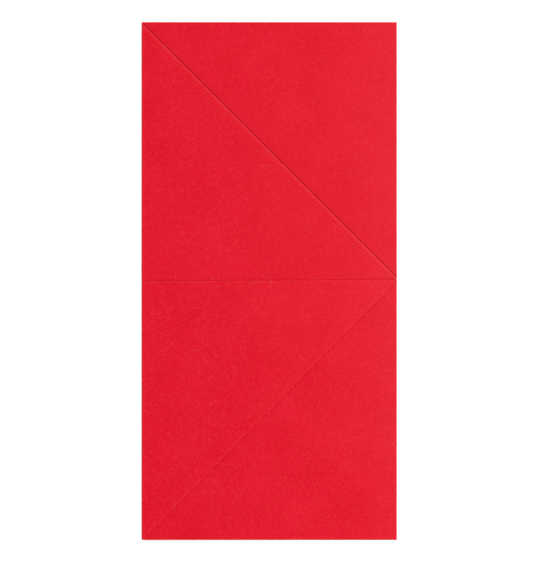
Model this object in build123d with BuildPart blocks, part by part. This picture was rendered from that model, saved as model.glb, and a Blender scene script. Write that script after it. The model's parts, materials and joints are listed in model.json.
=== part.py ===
from build123d import *
import os

# The creased sheet of a paper aeroplane, opened out flat on a table.
#
# One rectangle of coloured paper, twice as long as it is wide. The aeroplane flies towards +X, so the
# long side is the wing span, along Y, with the left wing on the +Y side. Three valley creases meet at the
# nose, in the middle of the +X edge: the centre crease, which closes the wings on each other, and a
# crease at 45 degrees across each wing, which brings that wing's front corner in to the centre.
#
# The origin is the middle of the sheet's underside. Sizes are in millimetres.
#
# Each crease is a narrow band of bent fibres between two flat facets, with a score along its middle. The
# groove of the score is an arc about the axis that the fold turns on.

# driving dimensions

SPAN = 152.4                # wing tip to wing tip, the sheet's long side
CHORD = 75.1                # nose to tail, the sheet's short side
PAPER = 0.15                # thickness of the paper

BAND = 0.4                  # width of the band of bent fibres along a crease

CORNER_AXIS = 0.25          # height of the corner folds' axes above the table
CORNER_SCORE = 0.07         # depth of the score in a corner crease
CENTRE_AXIS = 0.60          # height of the centre fold's axis: it closes over both folded corners
CENTRE_SCORE = 0.04         # depth of the score in the centre crease

NOSE = CHORD / 2            # X of the front edge
TAIL = -CHORD / 2           # X of the rear edge
LEFT_TIP = SPAN / 2         # Y of the left wing's end
RIGHT_TIP = -SPAN / 2       # Y of the right wing's end

# The creases were folded by hand, so they meet the nose and the corners only to within a millimetre. Each
# is given by its two ends on the sheet's edge, in the order that puts the side that lifts on its left.

CENTRE = (Vector(TAIL, -0.04), Vector(NOSE, 0.34))
LEFT_CORNER = (Vector(TAIL, LEFT_TIP - 0.32), Vector(NOSE, 0.78))
RIGHT_CORNER = (Vector(NOSE, 0.18), Vector(TAIL + 0.22, RIGHT_TIP))

LEFT = 1                    # the side of a crease that lifts when it folds
RIGHT = -1                  # the side that stays

# What bounds each facet: the creases beside it, and the side of each that it lies on.

FACETS = {
    "right_wing_panel": [(CENTRE, RIGHT), (RIGHT_CORNER, RIGHT)],
    "left_wing_panel": [(CENTRE, LEFT), (LEFT_CORNER, RIGHT)],
    "right_corner_flap": [(RIGHT_CORNER, LEFT)],
    "left_corner_flap": [(LEFT_CORNER, LEFT)],
}

# Where each crease runs, what cuts it short, how high the axis of its fold is, and how deep its score is.
# The corner creases run into the centre crease at the nose, so each stops at its side of that band.

CREASES = {
    "centre_crease": (CENTRE, [], CENTRE_AXIS, CENTRE_SCORE),
    "right_corner_crease": (RIGHT_CORNER, [(CENTRE, RIGHT)], CORNER_AXIS, CORNER_SCORE),
    "left_corner_crease": (LEFT_CORNER, [(CENTRE, LEFT)], CORNER_AXIS, CORNER_SCORE),
}


def direction(crease):
    """The unit vector along a crease."""
    start, end = crease
    return (end - start).normalized()


def edge_of_band(crease, side):
    """The upright plane along one edge of a crease's band, facing away from the band."""
    outward = Vector(0, 0, 1).cross(direction(crease)) * side
    return Plane(origin=crease[0] + outward * BAND / 2, x_dir=direction(crease), z_dir=outward)


def section(crease, height):
    """The plane across a crease half way along it, with its origin at a height above the table."""
    start, end = crease
    return Plane(origin=(start + end) / 2 + Vector(0, 0, height), z_dir=direction(crease))


def write_step(piece, name):
    """Label a finished piece and write it to its own file."""
    piece.part.label = name
    export_step(piece.part, f"parts/{name}.step")


os.makedirs("parts", exist_ok=True)

for name, borders in FACETS.items():
    with BuildPart() as facet:
        with BuildSketch(Plane.XY):
            Rectangle(CHORD, SPAN)
            for crease, side in borders:
                split(bisect_by=edge_of_band(crease, side), keep=Keep.TOP)
        extrude(amount=PAPER)
    write_step(facet, name)

for name, (crease, borders, axis_height, score_depth) in CREASES.items():
    with BuildPart() as band:
        with BuildSketch(Plane.XY):
            Rectangle(CHORD, SPAN)
            for side in (LEFT, RIGHT):
                split(bisect_by=edge_of_band(crease, side), keep=Keep.BOTTOM)
            for other, side in borders:
                split(bisect_by=edge_of_band(other, side), keep=Keep.TOP)
        extrude(amount=PAPER)
        with BuildSketch(section(crease, axis_height)):
            Circle(axis_height - PAPER + score_depth)
        extrude(amount=SPAN, both=True, mode=Mode.SUBTRACT)
    write_step(band, name)
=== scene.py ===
import json
import math

import bpy
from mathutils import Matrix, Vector, geometry, noise

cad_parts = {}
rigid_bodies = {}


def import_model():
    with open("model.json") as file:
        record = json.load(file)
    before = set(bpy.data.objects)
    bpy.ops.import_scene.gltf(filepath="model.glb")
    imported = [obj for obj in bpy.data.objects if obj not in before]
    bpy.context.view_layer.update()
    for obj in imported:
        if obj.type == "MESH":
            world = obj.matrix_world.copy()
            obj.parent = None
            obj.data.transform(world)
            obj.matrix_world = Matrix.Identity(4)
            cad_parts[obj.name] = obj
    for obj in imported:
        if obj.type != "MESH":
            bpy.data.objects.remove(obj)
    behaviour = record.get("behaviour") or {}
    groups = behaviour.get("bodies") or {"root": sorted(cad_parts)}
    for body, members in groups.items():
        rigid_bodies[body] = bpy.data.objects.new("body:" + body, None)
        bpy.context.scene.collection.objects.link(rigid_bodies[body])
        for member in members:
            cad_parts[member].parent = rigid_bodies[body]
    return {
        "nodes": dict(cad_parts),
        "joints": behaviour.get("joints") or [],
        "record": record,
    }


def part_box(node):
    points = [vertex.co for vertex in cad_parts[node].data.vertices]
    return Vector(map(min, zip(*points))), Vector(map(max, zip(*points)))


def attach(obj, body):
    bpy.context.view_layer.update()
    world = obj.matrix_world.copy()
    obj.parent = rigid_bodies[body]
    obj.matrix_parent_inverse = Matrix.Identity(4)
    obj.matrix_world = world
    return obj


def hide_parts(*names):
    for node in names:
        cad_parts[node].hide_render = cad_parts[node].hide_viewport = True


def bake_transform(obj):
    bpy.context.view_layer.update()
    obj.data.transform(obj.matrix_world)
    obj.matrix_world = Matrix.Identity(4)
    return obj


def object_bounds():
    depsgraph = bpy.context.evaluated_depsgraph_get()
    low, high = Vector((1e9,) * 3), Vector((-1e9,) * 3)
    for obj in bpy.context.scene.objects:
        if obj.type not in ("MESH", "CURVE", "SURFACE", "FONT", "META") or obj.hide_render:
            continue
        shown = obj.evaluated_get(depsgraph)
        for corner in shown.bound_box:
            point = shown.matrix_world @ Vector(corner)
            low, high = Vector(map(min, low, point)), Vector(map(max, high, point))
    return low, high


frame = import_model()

# An unfolded paper airplane: one red sheet with three fold lines, lying on a white floor. The sheet is four
# flat facets joined by three narrow bands of creased paper.

MM = 0.001
SHEET_LOW, SHEET_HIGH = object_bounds()
PAPER = SHEET_HIGH.z / MM        # the paper's thickness, mm

# ---- The camera -----------------------------------------------------------------------------------------

PICTURE_OVER_SPAN = 1.0852       # the picture's long side over the sheet's, at the sheet
CAMERA_LENS = 100.0              # mm, on the default sensor
CAMERA_SIDESTEP = -0.83 * MM     # the picture's middle lies a little behind the sheet's middle

# ---- The light and the floor ----------------------------------------------------------------------------

# Each soft box: degrees from the nose towards the left wing, degrees above the floor, its distance and size
# in metres, and the share of the light on the floor that it gives. The room gives the rest.

SOFT_BOXES = {
    "window": (44.0, 22.5, 8.0, 2.00, 0.545),
    "lamp": (14.0, 60.0, 0.75, 0.20, 0.28),
    "reflector": (-75.0, 15.0, 0.60, 0.30, 0.07),
}
GLOSSY_BOXES = ("lamp",)         # the others are low, so their gloss would bleach the paper in low views
WHITE_LEVEL = 1.06               # how bright a perfect white would be in the middle of the floor
HORIZON = 0.75                   # how bright the room is at the horizon
HORIZON_BAND = (0.08, 0.24)      # the heights, as sines, between which the room fades to its upper level

FLOOR_GAP = 0.02 * MM            # the floor lies this far under the frame's zero level
FLOOR_GLOW = 0.35                # the light that the floor itself gives, over a perfect white's
FLOOR_REACH = 30.0               # from its middle to its sides, m
FLOOR_WHITES = (0.945, 0.955)    # its darkest and lightest white
FLOOR_MOTTLE = 60 * MM
FLOOR_ROUGHNESS = 0.9

# ---- The creased paper, in mm ---------------------------------------------------------------------------

# Across a fold line the surface drops to a valley. The side that stays climbs out of it on the near side,
# and the side that moves climbs a little higher, because the fold has never quite gone flat again. Each side
# has a steep wall and a long shoulder, as (height, width). The last entry is how strong the painted highlight
# is on the staying side's lit wall, from 0 to 1: strongest on the fold that faces the light most.

FOLDS = {
    "centre_crease": {
        "stay_wall": (0.012, 0.33),
        "stay_shoulder": (0.049, 1.5),
        "move_wall": (0.071, 0.167),
        "move_shoulder": (0.030, 1.5),
        "wear_and_painted_highlight": 0.3,
    },
    "right_corner_crease": {
        "stay_wall": (0.026, 0.26),
        "stay_shoulder": (0.067, 1.5),
        "move_wall": (0.072, 0.361),
        "move_shoulder": (0.082, 1.5),
        "wear_and_painted_highlight": 0.2,
    },
    "left_corner_crease": {
        "stay_wall": (0.026, 0.22),
        "stay_shoulder": (0.037, 1.5),
        "move_wall": (0.095, 0.183),
        "move_shoulder": (0.037, 1.5),
        "wear_and_painted_highlight": 1.0,
    },
}
LIFT_LENGTH = 20.0               # how far from the fold the moving side's extra height dies away
RIDGE = 0.025                    # how far the fold's ridge holds the sheet off the floor
RIDGE_WIDTH = 0.35               # how wide the ridge is
RIDGE_REACH = 8.0                # and how far it is felt
UNDERSIDE_WIDTH = 0.9            # how far from the fold the underside follows the moving side up
NOSE_STIFFNESS = 12.0            # how far from the nose, where the folds meet, the sheet lies flat
NOSE_SETTLING = 4.0              # how far from a fold it takes there for the moving side to come down
SHALLOW = 0.095                  # valleys deeper than this, where folds meet, are softened
DEEPEST = 0.02                   # by how much more they may go down

COCKLE = 0.02                    # the height of the sheet's gentle waves
COCKLE_LENGTH = 34.0             # their length
RIPPLE_FINENESS = 2.3            # how much shorter the ripples on them are
RIPPLE_SHARE = 0.15              # and how high they are, over the waves
RIPPLE_SLICE = 50.0              # a part of the noise that is unlike the waves' part
EDGE_ROUNDING = 0.035            # how far the cut edge is pressed down
EDGE_ROUNDING_BELOW = 0.6        # how far it is pressed up from below, over that
EDGE_ROUNDING_WIDTH = 0.045      # and how far in from the edge

HIGHLIGHT_PLACE, HIGHLIGHT_WIDTH = 0.28, 0.23    # where the painted highlight lies on the staying side's lit wall, from the fold, and how wide it is
EDGE_WEAR, EDGE_WEAR_WIDTH = 0.6, 0.15    # how worn the cut edge is, and how far in
NOSE_PALE_WIDTH = 7.5              # how far in from the front edge the paper is paler

# ---- The mesh, in mm ------------------------------------------------------------------------------------

STEP_ALONG = 1.2                 # between points along a fold line
FIRST_STEP = 0.035               # between the two guide lines nearest to a band
STEP_GROWTH = 1.22               # from each gap between guide lines to the next
GUIDES_REACH = 14.0              # how far from a fold the guide lines go
BAND_STEPS = 12                  # steps across a crease's band
EDGE_STEP = 1.5                  # between points along the sheet's edge
EDGE_GUIDES = (0.02, 0.05, 0.11, 0.25)    # how far in from the edge the guide lines beside it are
OPEN_STEP = 2.5                  # between points far from any fold
OPEN_MARGIN = 0.8                # how far inside a piece's outline they stay
END_STEP = 0.2                   # the least of a step that is left at the end of a row of points
ON_BORDER = 0.01                 # a corner this near to a band's border lies on it
SAME_PLACE = 5e-4                # points nearer than this are one point
SHORTEST = 10 * SAME_PLACE       # the shortest stretch of a guide line
PARALLEL = 1e-6                  # two directions whose cross product is less than this are parallel
ENCLOSED = 1                     # keeps only the triangles that the border encloses
SHARP_EDGE = 50                  # an edge that turns by more degrees than this isn't shaded smooth

# ---- The paper's colours and patterns -------------------------------------------------------------------

RED = (0.752, 0.0007, 0.0197)
DEEP_RED = (0.712, 0.0005, 0.0167)
PALE_FIBRE = (0.90, 0.28, 0.28)
# The pale red of worn cut edges, also painted beside the creases as their highlight.
WORN_AND_HIGHLIT_RED = (0.83, 0.120, 0.080)

# The patterns are noise: the size of its features, its levels of finer detail, and how strong those are.

CLOUDS = (9 * MM, 3.0)           # deeper and lighter red
HAZE = (18 * MM, 1.0)            # the same, broader and slightly pale
MOTTLE = (1.8 * MM, 2.0)         # where the tufts are paler
GRAIN = (0.45 * MM, 2.0, 0.6)    # the grain of the fibres
FLUFF = (0.25 * MM, 0.0)         # the finest tufts
SPECKS = (0.40 * MM, 0.0)        # a few pale specks
FIBRES = ((12, 0.22), (63, 0.26), (118, 0.20), (151, 0.24))    # sets of fibres: degrees, and width in mm
FIBRE_DETAIL = 1.0
FIBRE_STRETCH = 7.0              # a fibre's length over its width

MOST = (0.2, 0.8)                # where nearly all of a noise's values lie
MIDDLE = (0.3, 0.7)              # and where most of them do
MOTTLE_RANGE = (0.25, 0.75)
FIBRE_RANGE = (0.70, 0.80)       # only the highest values are fibres or specks
SPECK_RANGE = (0.72, 0.80)
TUFT_RANGE = (0.42, 0.8)
FLUFF_RANGE = (0.40, 0.78)

GRAIN_TONE = 0.2                 # how far the grain changes the tone, from deep red to red, either way
HAZE_TONE = 0.32                 # and the haze
FIBRE_PALENESS = 0.06
FLUFF_CONTRAST = 2.0
TUFT_PALENESS = (0.02, 0.12)     # from the lows of the mottle to its highs
NOSE_PALENESS_RANGE = (0.009, 0.019)    # at the front edge, from the lows of the grain to its highs
HAZE_PALENESS = 0.011
WEAR_AND_HIGHLIGHT_BREAKS = (0.3, 1.0)         # how far the grain breaks up the edge wear and the painted crease highlights
WEAR_AND_HIGHLIGHT_STRENGTH = 0.27
ROUGHNESS = (0.45, 0.56)
GLOSS = 0.25                     # half of what a plain coated surface has
GLOSS_TINT = (1.0, 1.0, 0.8, 1.0)
TOOTH = 0.5                      # the strength of the paper's tooth
TOOTH_DEPTH = 0.019 * MM
FLUFF_HEIGHT = 0.4               # over the grain's
WHITE = (1.0, 1.0, 1.0, 1.0)


class Crease:
    """A fold line of the sheet, in plan: its place, its direction, and the bodies on its two sides."""

    def __init__(self, joint):
        self.node = joint["deforming_nodes"][0]["node"]
        self.stays = joint["parent"]
        self.moves = joint["child"]
        self.point = Vector(joint["pos_m"][:2]) / MM
        self.along = Vector(joint["axis"][:2]).normalized()
        self.across = Vector((-self.along.y, self.along.x))
        corners = frame["nodes"][self.node].data.vertices
        self.half_band = max(abs(self.offset(corner.co.xy / MM)) for corner in corners)

    def offset(self, spot):
        """How far a spot lies from the fold line, positive on the side that moves."""
        return (spot - self.point).dot(self.across)

    def guide_offsets(self):
        """The offsets of the guide lines: even across the band, then further and further apart."""
        offsets = []
        for k in range(1 - BAND_STEPS // 2, BAND_STEPS // 2):
            offsets.append(2 * self.half_band * k / BAND_STEPS)
        reach, step = self.half_band, FIRST_STEP
        while reach < GUIDES_REACH:
            offsets.extend((-reach, reach))
            reach += step
            step *= STEP_GROWTH
        return offsets


creases = [Crease(joint) for joint in frame["joints"]]


# ---- The height of the paper ----------------------------------------------------------------------------


def bell(distance, width):
    """A bell curve: 1 at no distance, and next to nothing beyond twice its width."""
    return math.exp(-((distance / width) ** 2))


def wall(shape, offset):
    """What is left to climb of a steep wall, at an offset from its foot."""
    height, width = shape
    return height * bell(offset, width)


def shoulder(shape, offset):
    """What is left to climb of a long shoulder."""
    height, length = shape
    return height * math.exp(-offset / length)


def extra_height(fold):
    """How much higher than the other side the moving side climbs."""
    moving = fold["move_wall"][0] + fold["move_shoulder"][0]
    return moving - fold["stay_wall"][0] - fold["stay_shoulder"][0]


def top_relief(fold, offset, slack):
    """The top surface's height over its plain level, at an offset from a fold line."""
    if offset < 0:
        return -wall(fold["stay_wall"], offset) - shoulder(fold["stay_shoulder"], -offset)
    lift = extra_height(fold) * math.exp(-offset / LIFT_LENGTH)
    lift *= slack + (1 - slack) * math.exp(-offset / NOSE_SETTLING)
    return lift - wall(fold["move_wall"], offset) - shoulder(fold["move_shoulder"], offset)


def underside_relief(fold, offset, slack):
    """The underside's height over its plain level: a ridge at the fold, and a rise on the moving side."""
    ridge = -slack * RIDGE * bell(offset, RIDGE_WIDTH)
    if offset < 0:
        return ridge
    risen = 1 - bell(offset, UNDERSIDE_WIDTH)
    return ridge + slack * extra_height(fold) * risen * math.exp(-offset / LIFT_LENGTH)


def cockle(spot):
    """The gentle waves of a sheet that has been handled."""
    wave = noise.noise(Vector((spot.x, spot.y, 0.0)) / COCKLE_LENGTH)
    ripple = noise.noise(Vector((spot.x, spot.y, RIPPLE_SLICE)) / COCKLE_LENGTH * RIPPLE_FINENESS)
    return COCKLE * (0.5 + 0.5 * wave + RIPPLE_SHARE * ripple)


def edge_distance(spot):
    """How far a spot lies inside the sheet's nearest edge."""
    in_x = min(spot.x - SHEET_LOW.x / MM, SHEET_HIGH.x / MM - spot.x)
    in_y = min(spot.y - SHEET_LOW.y / MM, SHEET_HIGH.y / MM - spot.y)
    return max(0.0, min(in_x, in_y))


def surfaces(spot):
    """The heights of the underside and of the top at a spot of the sheet."""
    nose = Vector((SHEET_HIGH.x / MM, 0.0))
    slack = 1 - bell((spot - nose).length, NOSE_STIFFNESS)
    relief, lift, level = 0.0, 0.0, cockle(spot)
    for crease in creases:
        offset = crease.offset(spot)
        relief += top_relief(FOLDS[crease.node], offset, slack)
        lift += underside_relief(FOLDS[crease.node], offset, slack)
        level += slack * RIDGE * bell(offset, RIDGE_REACH)
    if relief < -SHALLOW:
        relief = -SHALLOW - DEEPEST * (1 - math.exp((relief + SHALLOW) / DEEPEST))
    pressed = EDGE_ROUNDING * bell(edge_distance(spot), EDGE_ROUNDING_WIDTH)
    return level + lift + pressed * EDGE_ROUNDING_BELOW, level + PAPER + relief - pressed


# ---- The wear at the cut edges, and the painted highlights beside the creases ---------------------------


def wear_and_painted_highlight(spot):
    """How pale the paper is painted, from 0 to 1: worn at the cut edges, and with a painted highlight on
    the lit wall beside each crease.
    """
    wear_and_highlight_share = EDGE_WEAR * math.exp(-edge_distance(spot) / EDGE_WEAR_WIDTH)
    for crease in creases:
        # A painted highlight on the lit wall of the staying side, stronger on a fold that faces the light.
        crease_highlight = bell(crease.offset(spot) + HIGHLIGHT_PLACE, HIGHLIGHT_WIDTH)
        wear_and_highlight_share = max(wear_and_highlight_share, FOLDS[crease.node]["wear_and_painted_highlight"] * crease_highlight)
    return wear_and_highlight_share


def nose_paleness(spot):
    """How much paler the paper is, from 0 to 1, near the front edge."""
    return bell(SHEET_HIGH.x / MM - spot.x, NOSE_PALE_WIDTH)


def add_values(piece, name, value_at):
    """Stores a value for each point of a piece, worked out from its place on the sheet."""
    values = [value_at(vertex.co.xy / MM) for vertex in piece.data.vertices]
    piece.data.attributes.new(name, "FLOAT", "POINT").data.foreach_set("value", values)


# ---- The pieces of the sheet, in plan -------------------------------------------------------------------


def cut(outline, crease, border, side):
    """The part of a convex outline that lies beyond an offset from a fold line, on one side of it."""
    depths = [side * (crease.offset(corner) - border) for corner in outline]
    kept = []
    for k, corner in enumerate(outline):
        before, depth_before = outline[k - 1], depths[k - 1]
        if (depths[k] > 0) != (depth_before > 0):
            kept.append(before.lerp(corner, depth_before / (depth_before - depths[k])))
        if depths[k] > 0:
            kept.append(corner)
    return kept


def plan_outline(node):
    """The outline of a piece seen from above, in mm, anticlockwise. A band lies between the two borders of
    its own fold line, and a band that meets an earlier one stops there. A facet stops at every band."""
    low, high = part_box(node)
    middle = (low.xy + high.xy) / 2 / MM
    low, high = SHEET_LOW.xy / MM, SHEET_HIGH.xy / MM
    outline = [low, Vector((high.x, low.y)), high, Vector((low.x, high.y))]
    for crease in creases:
        if crease.node == node:
            outline = cut(outline, crease, -crease.half_band, 1)
            return cut(outline, crease, crease.half_band, -1)
        side = 1 if crease.offset(middle) > 0 else -1
        outline = cut(outline, crease, side * crease.half_band, side)
    return outline


def clip_line(outline, point, along):
    """The stretch of a line inside a convex outline, as two distances along it, or None."""
    start, end = -math.inf, math.inf
    for k, corner in enumerate(outline):
        side = corner - outline[k - 1]
        inward = Vector((-side.y, side.x)).normalized()
        depth = (point - outline[k - 1]).dot(inward)
        rate = along.dot(inward)
        if abs(rate) < PARALLEL:
            if depth < SAME_PLACE:
                return None
        elif rate > 0:
            start = max(start, -depth / rate)
        else:
            end = min(end, -depth / rate)
    return (start, end) if end - start > SHORTEST else None


def stops(start, end, step):
    """Both ends of a stretch and the whole steps between them."""
    found = [start]
    for k in range(math.ceil(start / step), math.floor(end / step) + 1):
        if start + END_STEP * step < k * step < end - END_STEP * step:
            found.append(k * step)
    return found + [end]


def side_stops(corner, after):
    """The points along one side of an outline, without its last corner. A side along a band's border gets
    the same points as the piece across it."""
    for crease in creases:
        beside = abs(crease.offset(corner)), abs(crease.offset(after))
        if max(abs(b - crease.half_band) for b in beside) < ON_BORDER:
            foot = crease.point + crease.across * crease.offset(corner)
            first, last = (corner - foot).dot(crease.along), (after - foot).dot(crease.along)
            inner = stops(min(first, last), max(first, last), STEP_ALONG)[1:-1]
            inner = inner if first < last else inner[::-1]
            return [corner] + [foot + crease.along * far for far in inner]
    count = max(1, round((after - corner).length / EDGE_STEP))
    return [corner.lerp(after, k / count) for k in range(count)]


def guide_lines():
    """The lines that the mesh follows: along every fold, and just inside the sheet's edges."""
    for crease in creases:
        for offset in crease.guide_offsets():
            yield crease.point + crease.across * offset, crease.along, STEP_ALONG
    for inset in EDGE_GUIDES:
        for x in (SHEET_LOW.x / MM + inset, SHEET_HIGH.x / MM - inset):
            yield Vector((x, 0.0)), Vector((0.0, 1.0)), EDGE_STEP
        for y in (SHEET_LOW.y / MM + inset, SHEET_HIGH.y / MM - inset):
            yield Vector((0.0, y)), Vector((1.0, 0.0)), EDGE_STEP


def inside(outline, spot, margin):
    """Whether a spot lies inside a convex outline by more than a margin."""
    for k, corner in enumerate(outline):
        side = (corner - outline[k - 1]).normalized()
        if side.cross(spot - outline[k - 1]) < margin:
            return False
    return True


def open_points(outline):
    """Points spread over the open paper, away from the fold lines' guides."""
    low_x, low_y = min(c.x for c in outline), min(c.y for c in outline)
    high_x, high_y = max(c.x for c in outline), max(c.y for c in outline)
    for i in range(math.ceil(low_x / OPEN_STEP), math.floor(high_x / OPEN_STEP) + 1):
        for j in range(math.ceil(low_y / OPEN_STEP), math.floor(high_y / OPEN_STEP) + 1):
            spot = Vector(((i + 0.5 * (j % 2)) * OPEN_STEP, j * OPEN_STEP))
            clear = min(abs(crease.offset(spot)) for crease in creases) > GUIDES_REACH
            if clear and inside(outline, spot, OPEN_MARGIN):
                yield spot


def plan_mesh(node):
    """The points and triangles of one piece of the sheet, seen from above."""
    outline = plan_outline(node)
    points, lines = [], []
    for k, corner in enumerate(outline):
        points.extend(side_stops(outline[k - 1], corner))
    border = len(points)
    for k in range(border):
        lines.append((k, (k + 1) % border))
    for point, along, step in guide_lines():
        stretch = clip_line(outline, point, along)
        if stretch:
            chain = [point + along * far for far in stops(*stretch, step)]
            lines.extend((len(points) + k, len(points) + k + 1) for k in range(len(chain) - 1))
            points.extend(chain)
    points.extend(open_points(outline))
    made = geometry.delaunay_2d_cdt(points, lines, [], ENCLOSED, SAME_PLACE)
    return made[0], made[2]


# ---- The pieces of the sheet, as solids -----------------------------------------------------------------


def link(name, data):
    """A new object in the scene."""
    thing = bpy.data.objects.new(name, data)
    bpy.context.scene.collection.objects.link(thing)
    return thing


def paper_piece(name, node):
    """A closed solid of paper over one CAD node's outline: top, underside and cut edges."""
    spots, faces = plan_mesh(node)
    used = sorted({k for face in faces for k in face})
    number = {k: n for n, k in enumerate(used)}
    count = len(used)
    under, top = [], []
    for k in used:
        low, high = surfaces(spots[k])
        under.append(Vector((spots[k].x, spots[k].y, low)) * MM)
        top.append(Vector((spots[k].x, spots[k].y, high)) * MM)
    solid, sides = [], {}
    for face in faces:
        ring = [number[k] for k in face]
        solid.append([n + count for n in ring])
        solid.append(ring[::-1])
        for k in range(len(ring)):
            sides[(ring[k - 1], ring[k])] = True
    for first, last in sides:
        if (last, first) not in sides:
            solid.append([first, last, last + count, first + count])
    mesh = bpy.data.meshes.new(name)
    mesh.from_pydata(under + top, [], solid)
    mesh.shade_smooth()
    mesh.set_sharp_from_angle(angle=math.radians(SHARP_EDGE))
    piece = link(name, mesh)
    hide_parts(node)
    add_values(piece, "wear_and_painted_highlight", wear_and_painted_highlight)
    add_values(piece, "nose_paleness", nose_paleness)
    return piece


# ---- Materials ------------------------------------------------------------------------------------------


def add(tree, kind, **settings):
    """A new shader node with these properties."""
    node = tree.nodes.new(kind)
    for key, value in settings.items():
        setattr(node, key, value)
    return node


def set_inputs(node, values):
    """Gives a node's sockets these values."""
    for key, value in values.items():
        node.inputs[key].default_value = value


def noise_texture(tree, place, size, detail, roughness=0.55, stretch=None, turn=0.0):
    """Noise whose features are about size across, in metres, and longer if it is stretched."""
    texture = add(tree, "ShaderNodeTexNoise")
    set_inputs(texture, {"Scale": 1 / size, "Detail": detail, "Roughness": roughness})
    if stretch:
        mapping = add(tree, "ShaderNodeMapping")
        set_inputs(mapping, {"Rotation": (0, 0, math.radians(turn)), "Scale": (1, 1 / stretch, 1)})
        tree.links.new(place, mapping.inputs["Vector"])
        place = mapping.outputs["Vector"]
    tree.links.new(place, texture.inputs["Vector"])
    return texture.outputs["Fac"]


def spread(tree, value, low, high, to_low=0.0, to_high=1.0):
    """A value moved from one range to another, and kept inside the new one."""
    node = add(tree, "ShaderNodeMapRange")
    set_inputs(node, {"From Min": low, "From Max": high, "To Min": to_low, "To Max": to_high})
    tree.links.new(value, node.inputs["Value"])
    return node.outputs["Result"]


def calculate(tree, operation, first, second):
    """What an operation makes of two values, each a number or a socket."""
    node = add(tree, "ShaderNodeMath", operation=operation)
    for k, value in enumerate((first, second)):
        if isinstance(value, (int, float)):
            node.inputs[k].default_value = value
        else:
            tree.links.new(value, node.inputs[k])
    return node.outputs["Value"]


def mix(tree, share, first, second):
    """One colour blended into another by a share."""
    node = add(tree, "ShaderNodeMix", data_type="RGBA")
    tree.links.new(share, node.inputs["Factor"])
    # The sockets for colours go by number, because the node has others with the same names.
    for socket, colour in ((node.inputs[6], first), (node.inputs[7], second)):
        if isinstance(colour, tuple):
            socket.default_value = (*colour, 1.0)
        else:
            tree.links.new(colour, socket)
    return node.outputs[2]


def new_material(name):
    """A new material, its nodes, its shader, and the place on the object that its patterns follow."""
    material = bpy.data.materials.new(name)
    material.use_nodes = True
    tree = material.node_tree
    place = add(tree, "ShaderNodeTexCoord").outputs["Object"]
    return material, tree, tree.nodes["Principled BSDF"], place


def fibres_and_specks(tree, place):
    """How pale the paper is at its few pale fibres and specks, from 0 to 1."""
    pale = spread(tree, noise_texture(tree, place, *SPECKS), *SPECK_RANGE)
    for turn, size in FIBRES:
        streaks = noise_texture(tree, place, size * MM, FIBRE_DETAIL, stretch=FIBRE_STRETCH, turn=turn)
        pale = calculate(tree, "MAXIMUM", pale, spread(tree, streaks, *FIBRE_RANGE))
    return pale


def paper_material(name):
    """Red coloured paper: soft clouds, fibre grain, tufts, a few pale fibres, wear at the cut edges, and a
    painted highlight along the creases.
    """
    material, tree, shader, place = new_material(name)
    clouds = noise_texture(tree, place, *CLOUDS)
    haze = noise_texture(tree, place, *HAZE)
    mottle = noise_texture(tree, place, *MOTTLE)
    grain = noise_texture(tree, place, *GRAIN)
    fluff = noise_texture(tree, place, *FLUFF)

    grain_tone = spread(tree, grain, *MIDDLE, -GRAIN_TONE, GRAIN_TONE)
    tone = calculate(tree, "ADD", spread(tree, clouds, *MOST), grain_tone)
    tone = calculate(tree, "ADD", tone, spread(tree, haze, *MOST, -HAZE_TONE, HAZE_TONE))
    colour = mix(tree, tone, DEEP_RED, RED)
    pale = calculate(tree, "MULTIPLY", fibres_and_specks(tree, place), FIBRE_PALENESS)
    colour = mix(tree, pale, colour, PALE_FIBRE)

    fine_tufts = spread(tree, fluff, *FLUFF_RANGE, 0.0, FLUFF_CONTRAST)
    tufts = calculate(tree, "MULTIPLY", spread(tree, grain, *TUFT_RANGE), fine_tufts)
    fuzz = calculate(tree, "MULTIPLY", tufts, spread(tree, mottle, *MOTTLE_RANGE, *TUFT_PALENESS))
    nose_pale = add(tree, "ShaderNodeAttribute", attribute_name="nose_paleness").outputs["Fac"]
    nose_pale = calculate(tree, "MULTIPLY", nose_pale, spread(tree, grain, *MIDDLE, *NOSE_PALENESS_RANGE))
    fuzz = calculate(tree, "ADD", fuzz, nose_pale)
    fuzz = calculate(tree, "ADD", fuzz, spread(tree, haze, *MIDDLE, 0.0, HAZE_PALENESS))
    colour = mix(tree, fuzz, colour, PALE_FIBRE)

    # Worn cut edges, and the painted highlights beside the creases, in a paler red.
    wear_and_highlight_share = add(tree, "ShaderNodeAttribute", attribute_name="wear_and_painted_highlight").outputs["Fac"]
    wear_and_highlight_share = calculate(tree, "MULTIPLY", wear_and_highlight_share, spread(tree, grain, *MIDDLE, *WEAR_AND_HIGHLIGHT_BREAKS))
    colour = mix(tree, calculate(tree, "MULTIPLY", wear_and_highlight_share, WEAR_AND_HIGHLIGHT_STRENGTH), colour, WORN_AND_HIGHLIT_RED)
    tree.links.new(colour, shader.inputs["Base Color"])

    tree.links.new(spread(tree, grain, *MIDDLE, *ROUGHNESS), shader.inputs["Roughness"])
    set_inputs(shader, {"Specular IOR Level": GLOSS, "Specular Tint": GLOSS_TINT})

    tooth = add(tree, "ShaderNodeBump")
    set_inputs(tooth, {"Strength": TOOTH, "Distance": TOOTH_DEPTH})
    height = calculate(tree, "ADD", grain, calculate(tree, "MULTIPLY", fluff, FLUFF_HEIGHT))
    tree.links.new(height, tooth.inputs["Height"])
    tree.links.new(tooth.outputs["Normal"], shader.inputs["Normal"])
    return material


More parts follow.
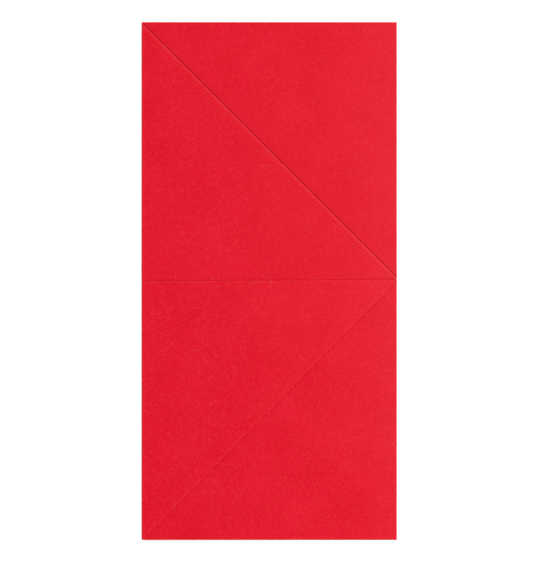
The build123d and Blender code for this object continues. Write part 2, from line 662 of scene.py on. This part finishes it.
def floor_material():
    """A matt white floor with the faintest mottling. Its own glow takes the edge off the shadows."""
    material, tree, shader, place = new_material("floor_white")
    mottle = noise_texture(tree, place, FLOOR_MOTTLE, 2.0)
    darkest, lightest = ((white, white, white) for white in FLOOR_WHITES)
    tree.links.new(mix(tree, mottle, darkest, lightest), shader.inputs["Base Color"])
    set_inputs(shader, {"Roughness": FLOOR_ROUGHNESS, "Specular IOR Level": 0.0})
    set_inputs(shader, {"Emission Color": WHITE, "Emission Strength": FLOOR_GLOW})
    return material


# ---- The sheet ------------------------------------------------------------------------------------------

paper = paper_material("red_paper")
creased_paper = paper_material("creased_red_paper")

crease_nodes = {crease.node for crease in creases}
for body, nodes in frame["record"]["behaviour"]["bodies"].items():
    for node in nodes:
        if node not in crease_nodes:
            facet = paper_piece(node + "_paper", node)
            facet.data.materials.append(paper)
            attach(facet, body)

for crease in creases:
    band = paper_piece(crease.node + "_paper", crease.node)
    band.data.materials.append(creased_paper)
    reach = crease.across * crease.half_band
    start, end = (crease.point - reach) * MM, (crease.point + reach) * MM
    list(start)
    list(end)
    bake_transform(band)

# ---- Floor, light and camera ----------------------------------------------------------------------------


def add_floor():
    """A wide white floor, just under the sheet."""
    mesh = bpy.data.meshes.new("floor")
    corners = []
    for x, y in ((-1, -1), (1, -1), (1, 1), (-1, 1)):
        corners.append((x * FLOOR_REACH, y * FLOOR_REACH, -FLOOR_GAP))
    mesh.from_pydata(corners, [], [(0, 1, 2, 3)])
    mesh.materials.append(floor_material())
    floor = link("floor", mesh)


def add_soft_box(name, heading, height, distance, size, share):
    """A square lamp that faces the middle of the sheet."""
    heading, height = math.radians(heading), math.radians(height)
    towards = Vector((
        math.cos(heading) * math.cos(height),
        math.sin(heading) * math.cos(height),
        math.sin(height),
    ))
    data = bpy.data.lights.new(name, "AREA")
    data.size = size
    data.energy = WHITE_LEVEL * share * (math.pi * distance) ** 2 / math.sin(height)
    box = link(name, data)
    box.location = towards * distance
    box.rotation_euler = towards.to_track_quat("Z", "Y").to_euler()
    box.visible_glossy = name in GLOSSY_BOXES


def add_room_light():
    """White light from all round. A band along the horizon stands for the room's far walls."""
    world = bpy.data.worlds.new("room")
    world.use_nodes = True
    tree = world.node_tree
    split = add(tree, "ShaderNodeSeparateXYZ")
    tree.links.new(add(tree, "ShaderNodeTexCoord").outputs["Generated"], split.inputs["Vector"])
    level = WHITE_LEVEL * (1 - sum(share for *_, share in SOFT_BOXES.values()))
    strength = spread(tree, split.outputs["Z"], *HORIZON_BAND, HORIZON, level)
    background = tree.nodes["Background"]
    tree.links.new(strength, background.inputs["Strength"])
    background.inputs["Color"].default_value = WHITE
    bpy.context.scene.world = world


def add_camera():
    """Straight above the sheet, with the left wing at the top of the picture."""
    data = bpy.data.cameras.new("camera")
    data.lens = CAMERA_LENS
    picture = PICTURE_OVER_SPAN * (SHEET_HIGH.y - SHEET_LOW.y)
    height = SHEET_HIGH.z + picture * CAMERA_LENS / data.sensor_width
    camera = link("camera", data)
    camera.location = (CAMERA_SIDESTEP, 0.0, height)
    bpy.context.scene.camera = camera


add_floor()
for name, settings in SOFT_BOXES.items():
    add_soft_box(name, *settings)
add_room_light()
add_camera()
bpy.context.scene.view_settings.view_transform = "Standard"
